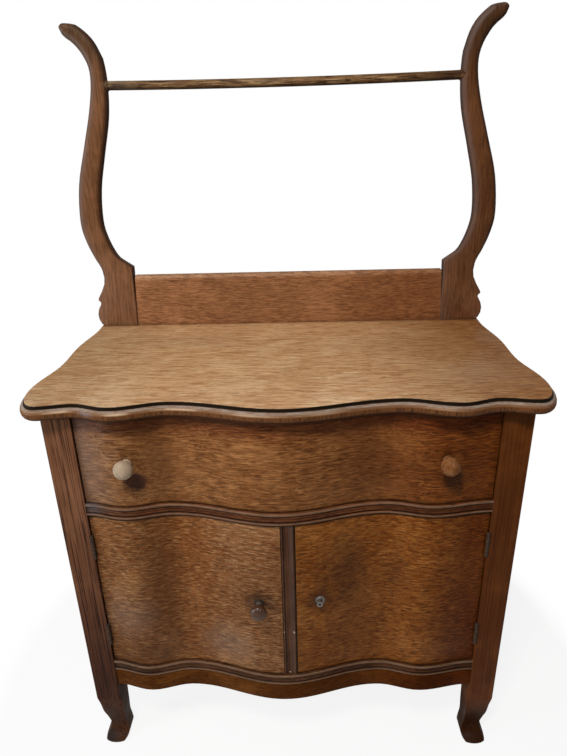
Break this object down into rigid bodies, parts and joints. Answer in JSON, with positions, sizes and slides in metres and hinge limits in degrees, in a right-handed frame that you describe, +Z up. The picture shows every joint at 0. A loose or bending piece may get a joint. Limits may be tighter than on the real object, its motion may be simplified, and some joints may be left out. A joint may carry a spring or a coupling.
{
  "type": "washstand",
  "caption": "Oak washstand with a serpentine front: a drawer over a pair of doors, a moulded top, and a towel rod held by harp-shaped uprights.",
  "frame": {"origin": "on the floor, at the middle of the washstand's whole width and depth", "axes": "+Z up, -Y the front with drawer and doors, +X to the right of someone who faces the front"},
  "size_m": [0.862, 0.487, 1.352],
  "materials": {
    "top_oak": "satin",
    "front_oak": "satin",
    "post_oak": "satin",
    "frame_oak": "satin",
    "moulding_oak": "satin",
    "harp_oak": "satin",
    "rod_oak": "satin",
    "inner_wood": "matt",
    "pale_knob_wood": "matt",
    "brown_knob_wood": "satin",
    "dark_knob_wood": "gloss",
    "iron": "dull",
    "steel": "tarnished"
  },
  "bodies": {
    "case": {"top_board": "top_oak", "left_front_post": "post_oak", "right_front_post": "post_oak", "left_back_post": "post_oak", "right_back_post": "post_oak", "left_side_rails": "frame_oak", "right_side_rails": "frame_oak", "left_side_panel": "frame_oak", "right_side_panel": "frame_oak", "back_rails": "inner_wood", "back_boards": "inner_wood", "front_top_rail": "inner_wood", "mid_rail": "moulding_oak", "bottom_rail": "moulding_oak", "apron": "front_oak", "centre_stile": "moulding_oak", "cupboard_floor": "inner_wood", "floor_cleats": "inner_wood", "drawer_runners": "inner_wood", "drawer_guides": "inner_wood", "drawer_kickers": "inner_wood", "drawer_stops": "inner_wood", "glue_blocks": "inner_wood", "top_screws": "steel", "splashboard": "front_oak", "left_harp": "harp_oak", "right_harp": "harp_oak", "towel_rod": "rod_oak", "harp_screws": "steel", "post_hinge_leaves": "iron", "hinge_pins": "iron", "post_hinge_screws": "steel"},
    "drawer": {"drawer_front": "front_oak", "drawer_left_side": "inner_wood", "drawer_right_side": "inner_wood", "drawer_back": "inner_wood", "drawer_bottom": "inner_wood", "drawer_left_knob": "pale_knob_wood", "drawer_right_knob": "brown_knob_wood", "drawer_knob_screws": "steel"},
    "left_door": {"left_door": "front_oak", "left_door_leaves": "iron", "left_door_screws": "steel", "left_rosette": "iron"},
    "right_door": {"right_door": "front_oak", "right_door_leaves": "iron", "right_door_screws": "steel", "right_rosette": "iron"},
    "left_catch": {"left_catch_spindle": "steel", "left_catch_knob": "dark_knob_wood", "left_catch_tongue": "iron"},
    "right_catch": {"right_catch_spindle": "steel", "right_catch_tongue": "iron"}
  },
  "joints": [
    {"name": "drawer_slide", "type": "slide", "parent": "case", "child": "drawer", "axis": [0, -1, 0], "range_m": [0, 0.3]},
    {"name": "left_door_swing", "type": "hinge", "parent": "case", "child": "left_door", "pos_m": [-0.34235, -0.18354, 0.3815], "axis": [0, 0, -1], "range_deg": [0, 110]},
    {"name": "right_door_swing", "type": "hinge", "parent": "case", "child": "right_door", "pos_m": [0.34235, -0.18354, 0.3815], "axis": [0, 0, 1], "range_deg": [0, 110]},
    {"name": "left_catch_turn", "type": "hinge", "parent": "left_door", "child": "left_catch", "pos_m": [-0.0535, -0.18454, 0.38], "axis": [0, -1, 0], "range_deg": [0, 90]},
    {"name": "right_catch_turn", "type": "hinge", "parent": "right_door", "child": "right_catch", "pos_m": [0.0535, -0.18454, 0.38], "axis": [0, 1, 0], "range_deg": [0, 90]}
  ]
}
